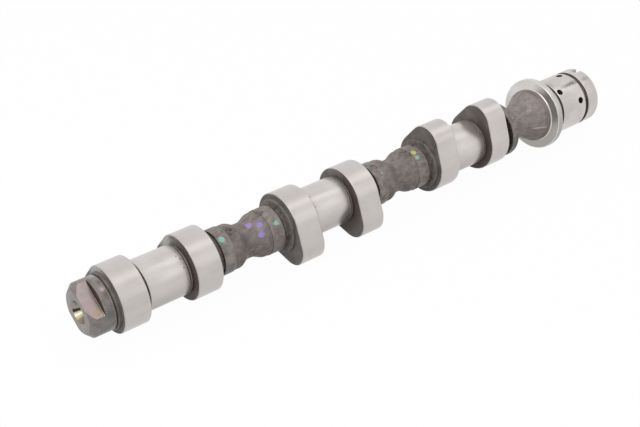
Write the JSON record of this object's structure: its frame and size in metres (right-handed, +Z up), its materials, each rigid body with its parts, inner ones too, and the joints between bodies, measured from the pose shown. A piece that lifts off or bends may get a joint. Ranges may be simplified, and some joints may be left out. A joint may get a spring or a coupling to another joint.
{
  "type": "camshaft",
  "caption": "Ground cast-iron overhead camshaft with lobes in pairs about its bearing journals, a thrust flange, a drilled front journal and a rear end with spanner flats.",
  "frame": {"origin": "on the shaft's axis, in the plane of the drive end's front face", "axes": "+X along the shaft's axis, out of the drive end; +Z up as the shaft lies on a table; +Y to the left seen from the rear end"},
  "size_m": [0.3597, 0.0455, 0.046],
  "materials": {
    "cast_iron": "ground and turned iron on journals and lobes, dark as-cast iron between them"
  },
  "bodies": {
    "root": {"camshaft": "cast_iron"}
  },
  "joints": []
}
